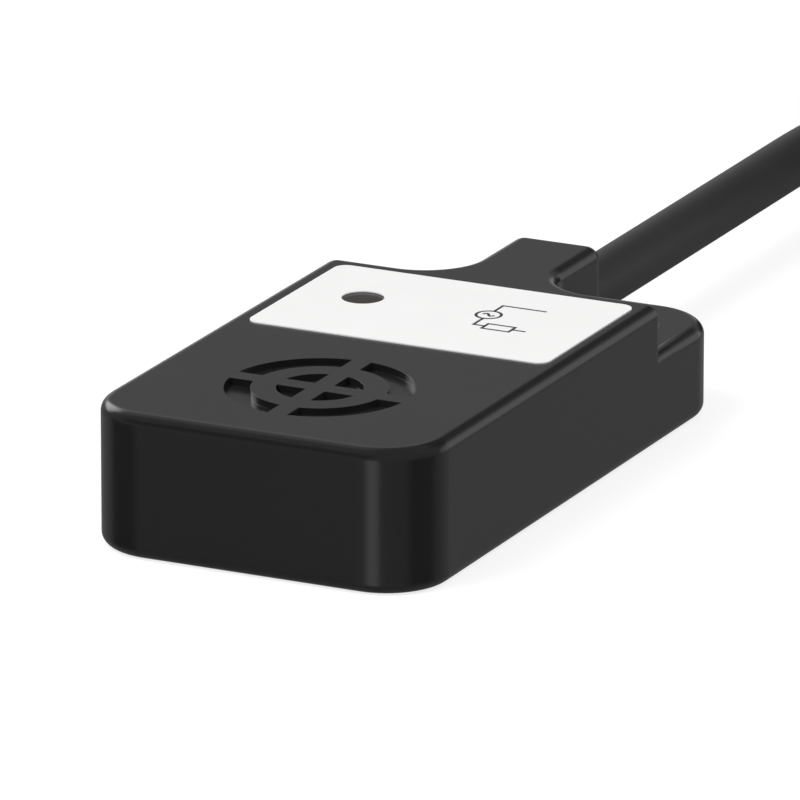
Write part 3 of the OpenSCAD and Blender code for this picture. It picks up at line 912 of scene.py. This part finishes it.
@dataclass(frozen=True)
class Label:
    """The white label: a thin plate with a round window and a printed wiring symbol."""

    corner: float = 0.9
    corner_steps: int = 8
    window: float = 2.9
    window_x: float = -6.1
    window_y: float = 5.7
    window_steps: int = 64
    edge: float = 0.03
    edge_segments: int = 2
    rim_angle: float = 1.0
    ink_height: float = 0.008
    line: float = 0.2
    ring_steps: int = 40
    wave_steps: int = 12
    wave_height: float = 0.28
    source_x: float = 3.25
    source_y: float = 5.78
    source_ring: float = 1.72
    free_line_y: float = 8.05
    free_line_end: float = 6.47
    load_y: float = 3.4
    load_left: float = 4.1
    load_right: float = 6.1
    load_low: float = 2.87
    load_high: float = 3.97
    load_line_end: float = 7.1

    def build(self) -> None:
        """Makes the plate and its printing."""
        low, high = (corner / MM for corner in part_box("nameplate_label"))
        self.plate(low, high)
        self.symbol(high.z)

    def plate(self, low: Vector, high: Vector) -> None:
        """Makes the label's plate.

        Args:
            low: lowest corner of its place.
            high: highest corner of its place.
        """
        shape = bmesh.new()
        outline = []
        corners = (
            (high.x - self.corner, high.y - self.corner, 0),
            (low.x + self.corner, high.y - self.corner, 90),
            (low.x + self.corner, low.y + self.corner, 180),
            (high.x - self.corner, low.y + self.corner, 270),
        )
        for x, y, start in corners:
            for k in range(self.corner_steps + 1):
                a = math.radians(start + 90 * k / self.corner_steps)
                outline.append((x + self.corner * math.cos(a), y + self.corner * math.sin(a)))
        hole = [
            (self.window_x + x, self.window_y + y)
            for x, y in circle_section(self.window, self.window_steps)
        ]
        edges = []
        for ring in (outline, hole):
            verts = [shape.verts.new((x, y, low.z)) for x, y in ring]
            edges += loop_edges(shape, verts)
        bmesh.ops.triangle_fill(shape, use_beauty=True, use_dissolve=True, edges=edges)
        result = bmesh.ops.extrude_face_region(shape, geom=shape.faces)
        top = [v for v in result["geom"] if isinstance(v, bmesh.types.BMVert)]
        bmesh.ops.translate(shape, vec=(0, 0, high.z - low.z), verts=top)
        bmesh.ops.recalc_face_normals(shape, faces=shape.faces)
        on_top = [e for e in shape.edges if all(v.co.z > high.z - TINY for v in e.verts)]
        rim = [e for e in on_top if e.calc_face_angle(0) > self.rim_angle]
        bmesh.ops.bevel(
            shape,
            geom=rim,
            offset=self.edge,
            segments=self.edge_segments,
            profile=0.5,
            affect="EDGES",
            material=-1,
        )
        millimetres(shape)
        piece = add_piece("label_plate", shape, LABEL, ("nameplate_label",))
        even_normals(piece)

    def symbol(self, top: float) -> None:
        """Prints the wiring symbol: a source between two lines, one with a load.

        Args:
            top: height of the label's surface.
        """
        shape = bmesh.new()
        x, y, ring = self.source_x, self.source_y, self.source_ring / 2
        left, right, low, high = self.load_left, self.load_right, self.load_low, self.load_high
        shares = [i / self.wave_steps for i in range(self.wave_steps + 1)]
        swing = self.wave_height * ring
        wave = [(x + ring * (s - 0.5), y + swing * math.sin(FULL_TURN * s)) for s in shares]
        free_line = [(x, y + ring), (x, self.free_line_y), (self.free_line_end, self.free_line_y)]
        load_line = [(x, y - ring), (x, self.load_y), (left, self.load_y)]
        load = [(left, low), (right, low), (right, high), (left, high), (left, low)]
        last_line = [(right, self.load_y), (self.load_line_end, self.load_y)]
        self.print_ring(shape, x, y, ring, top)
        for line in (wave, free_line, load_line, load, last_line):
            self.print_line(shape, line, top)
        millimetres(shape)
        add_piece("label_symbol", shape, INK)

    def print_ring(
        self, shape: bmesh.types.BMesh, x: float, y: float, radius: float, top: float
    ) -> None:
        """Prints a circle.

        Args:
            shape: the printing's mesh.
            x: its middle across the label.
            y: its middle along the label.
            radius: radius of the line's middle.
            top: height of the label's surface.
        """
        angles = [FULL_TURN * k / self.ring_steps for k in range(self.ring_steps + 1)]
        points = [(x + radius * math.cos(a), y + radius * math.sin(a)) for a in angles]
        self.print_line(shape, points, top)

    def print_line(
        self, shape: bmesh.types.BMesh, points: Sequence[tuple[float, float]], top: float
    ) -> None:
        """Prints a line as a thin raised ribbon.

        Args:
            shape: the printing's mesh.
            points: the line's points on the label.
            top: height of the label's surface.
        """
        half = self.line / 2
        middle = top + self.ink_height / 2
        closed = math.dist(points[0], points[-1]) < TINY
        rings = []
        last = len(points) - 1
        for i, (x, y) in enumerate(points):
            before = points[i - 1] if i else (points[last - 1] if closed else points[0])
            after = points[i + 1] if i < last else (points[1] if closed else points[last])
            a = Vector((x - before[0], y - before[1]))
            b = Vector((after[0] - x, after[1] - y))
            a = b if a.length < TINY else a
            b = a if b.length < TINY else b
            across = a.normalized() + b.normalized()
            across = Vector((-across.y, across.x)).normalized()
            reach = half / across.dot(Vector((-a.y, a.x)).normalized())
            aside = Vector((across.x, across.y, 0)) * reach
            above = Vector((0, 0, self.ink_height / 2))
            centre = Vector((x, y, middle))
            corners = (aside - above, aside + above, above - aside, -aside - above)
            rings.append([shape.verts.new(centre + corner) for corner in corners])
        edges = [loop_edges(shape, ring) for ring in rings]
        for first, second in zip(edges, edges[1:], strict=False):
            bmesh.ops.bridge_loops(shape, edges=first + second)
        for ring in (rings[0], rings[-1]):
            shape.faces.new(ring)
        bmesh.ops.recalc_face_normals(shape, faces=shape.faces)


# ------------------------------------------------------------------- indicator


@dataclass(frozen=True)
class IndicatorWindow:
    """The light guide whose top shows in the label's window."""

    sides: int = 64
    radius: float = 1.5
    foot_edge: float = 0.15
    collar: float = 3.8
    collar_low: float = 8.2
    collar_high: float = 8.8
    crown: float = 0.05
    rim: float = 0.12
    merge: float = 1e-5

    def build(self) -> None:
        """Makes the light guide by turning its outline about its middle."""
        low, high = (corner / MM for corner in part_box("indicator_lens"))
        x, y = (low.x + high.x) / 2, (low.y + high.y) / 2
        radius, top = self.radius, high.z
        outline = [
            (0, low.z),
            (radius - self.foot_edge, low.z),
            (radius, low.z + self.foot_edge),
            (radius, self.collar_low),
            (self.collar / 2, self.collar_low),
            (self.collar / 2, self.collar_high),
            (radius, self.collar_high),
            (radius, top - self.rim),
            (radius - self.rim / 3, top - self.rim / 4),
            (radius - self.rim, top - self.crown * 0.4),
            (radius / 2, top - self.crown * 0.1),
            (0, top),
        ]
        shape = bmesh.new()
        verts = [shape.verts.new((r, 0, z)) for r, z in outline]
        edges = [shape.edges.new(pair) for pair in zip(verts, verts[1:], strict=False)]
        bmesh.ops.spin(
            shape,
            geom=verts + edges,
            cent=(0, 0, 0),
            axis=(0, 0, 1),
            angle=FULL_TURN,
            steps=self.sides,
            use_merge=True,
            use_duplicate=False,
        )
        bmesh.ops.remove_doubles(shape, verts=shape.verts, dist=self.merge)
        bmesh.ops.recalc_face_normals(shape, faces=shape.faces)
        place(shape, Matrix.Translation((x, y, 0)))
        millimetres(shape)
        add_piece("indicator_window", shape, LENS, ("indicator_lens",))


# ---------------------------------------------------------------------- inside


class Works:
    """The CAD nodes that keep their own shapes."""

    def build(self) -> None:
        """Dresses each node in its finish."""
        for name, finish in CAD_FINISHES.items():
            WARDROBE.dress(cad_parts[name], finish)
            LOG.info("%s: dressed in %s", name, finish.name)


# ---------------------------------------------------------------------- studio


@dataclass(frozen=True)
class Panel:
    """A soft patch of the studio that gloss reflects, by its direction."""

    azimuth: float
    elevation: float
    half_width: float
    half_height: float
    level: float


@dataclass(frozen=True)
class Lamp:
    """A soft square lamp: where it hangs and its width in metres, and its watts."""

    name: str
    spot: tuple[float, float, float]
    size: float
    power: float

    def build(self) -> None:
        """Hangs the lamp so that it looks at the sensor."""
        data = bpy.data.lights.new(self.name, "AREA")
        data.size = self.size
        data.energy = self.power
        lamp = bpy.data.objects.new(self.name, data)
        lamp.location = Vector(self.spot)
        lamp.rotation_euler = (-Vector(self.spot)).to_track_quat("-Z", "Y").to_euler()
        lamp.visible_glossy = False
        bpy.context.scene.collection.objects.link(lamp)


@dataclass(frozen=True)
class Studio:
    """A plain pale floor, soft light and a white background."""

    floor_half: float = 6.0
    floor_squares: int = 8
    floor_pale: float = 0.6
    floor_shaded: float = 0.3
    floor_glow: float = 0.78
    diffuse_level: float = 0.5
    surroundings: float = 0.27
    panels: tuple[Panel, ...] = (
        Panel(58, 8, 22, 13, 0.68),
        Panel(105, 3, 30, 7, 0.5),
        Panel(78, 38, 34, 12, -0.25),
        Panel(122, 38, 16, 13, 0.5),
        Panel(155, 60, 30, 14, 0.35),
        Panel(152, 26, 16, 15, 3.6),
        Panel(64, -18, 30, 8, 0.06),
        Panel(-88, -18, 11, 22, 0.95),
        Panel(-4, -18, 26, 20, -0.22),
        Panel(-150, -18, 28, 20, -0.24),
        Panel(-121, 30, 32, 16, -0.25),
    )
    overhead: float = -0.08
    overhead_from: float = 38
    overhead_to: float = 58
    panel_core: float = 0.6
    panel_edge: float = 1.25
    darkest: float = 0.02
    lamps: tuple[Lamp, ...] = (
        Lamp("key_lamp", (-0.35, -0.45, 0.8), 0.5, 6.0),
        Lamp("fill_lamp", (0.6, 0.1, 0.7), 0.6, 3.0),
    )

    def build(self) -> None:
        """Makes the floor, the world and the lamps."""
        self.floor()
        self.world()
        for lamp in self.lamps:
            lamp.build()

    def floor(self) -> None:
        """Makes the floor, which stays white to the camera and keeps a soft shadow."""
        shape = bmesh.new()
        squares = self.floor_squares
        bmesh.ops.create_grid(shape, x_segments=squares, y_segments=squares, size=self.floor_half)
        mesh = bpy.data.meshes.new("studio_floor")
        shape.to_mesh(mesh)
        shape.free()
        floor = bpy.data.objects.new("studio_floor", mesh)
        bpy.context.scene.collection.objects.link(floor)
        made = bpy.data.materials.new("studio_floor")
        made.use_nodes = True
        graph = Graph(made.node_tree)
        seen = graph.node("ShaderNodeLightPath", output="Is Camera Ray")
        pale = graph.add("ShaderNodeBsdfDiffuse", None, {"Color": grey(self.floor_pale)})
        shaded = graph.add("ShaderNodeBsdfDiffuse", None, {"Color": grey(self.floor_shaded)})
        glow = graph.add("ShaderNodeEmission", None, {"Strength": self.floor_glow})
        both = graph.add("ShaderNodeAddShader")
        choice = graph.add("ShaderNodeMixShader", None, {0: seen})
        output = graph.add("ShaderNodeOutputMaterial")
        links = graph.tree.links
        links.new(shaded.outputs[0], both.inputs[0])
        links.new(glow.outputs[0], both.inputs[1])
        links.new(pale.outputs[0], choice.inputs[1])
        links.new(both.outputs[0], choice.inputs[2])
        links.new(choice.outputs[0], output.inputs[0])
        floor.data.materials.append(made)
        floor.visible_glossy = False

    def world(self) -> None:
        """Lights the scene evenly, with a white background and panels for gloss."""
        world = bpy.data.worlds.new("studio")
        world.use_nodes = True
        graph = Graph(world.node_tree)
        light_path = graph.add("ShaderNodeLightPath")
        seen = Signal(graph, light_path.outputs["Is Camera Ray"])
        through = Signal(graph, light_path.outputs["Is Transmission Ray"])
        glossy = Signal(graph, light_path.outputs["Is Glossy Ray"])
        reflected = self.reflected(graph)
        level = glossy * (reflected - self.diffuse_level) + self.diffuse_level
        white = seen.math("MAXIMUM", through)
        strength = white * (1.0 - level) + level
        light = graph.add("ShaderNodeBackground", None, {"Strength": strength})
        output = graph.add("ShaderNodeOutputWorld")
        graph.tree.links.new(light.outputs[0], output.inputs[0])
        bpy.context.scene.world = world

    def reflected(self, graph: Graph) -> Signal:
        """Level of the surroundings that gloss reflects, by direction.

        Args:
            graph: the world's graph.

        Returns:
            The level.
        """
        direction = graph.node("ShaderNodeTexCoord", output="Generated")
        parts = graph.add("ShaderNodeSeparateXYZ", None, {0: direction})
        x, y, z = (Signal(graph, socket) for socket in parts.outputs)
        azimuth = y.math("ARCTAN2", x) * (180 / math.pi)
        elevation = z.math("ARCSINE") * (180 / math.pi)
        high_up = elevation.smooth_step(self.overhead_from, self.overhead_to)
        level = high_up * self.overhead + self.surroundings
        for panel in self.panels:
            around = (azimuth - panel.azimuth).math("WRAP", 180.0, -180.0).math("ABSOLUTE")
            above = (elevation - panel.elevation).math("ABSOLUTE")
            wide = self.soft_edge(around, panel.half_width)
            tall = self.soft_edge(above, panel.half_height)
            level = wide * tall * panel.level + level
        return level.math("MAXIMUM", self.darkest)

    def soft_edge(self, away: Signal, half: float) -> Signal:
        """Share of a panel's light at some degrees from its middle."""
        return away.smooth_step(half * self.panel_edge, half * self.panel_core)


# ------------------------------------------------------------------------ main


def main() -> None:
    """Builds the camera, the cable and the sensor's parts in order."""
    logging.basicConfig(level=logging.INFO, format="%(message)s")
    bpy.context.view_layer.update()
    StudioCamera().build()
    Cable().build()
    for part in (Case(), Label(), IndicatorWindow(), Works(), Studio()):
        part.build()
        LOG.info("%s is built", type(part).__name__)
    bpy.context.scene.view_settings.view_transform = "Standard"


if __name__ == "__main__":
    main()
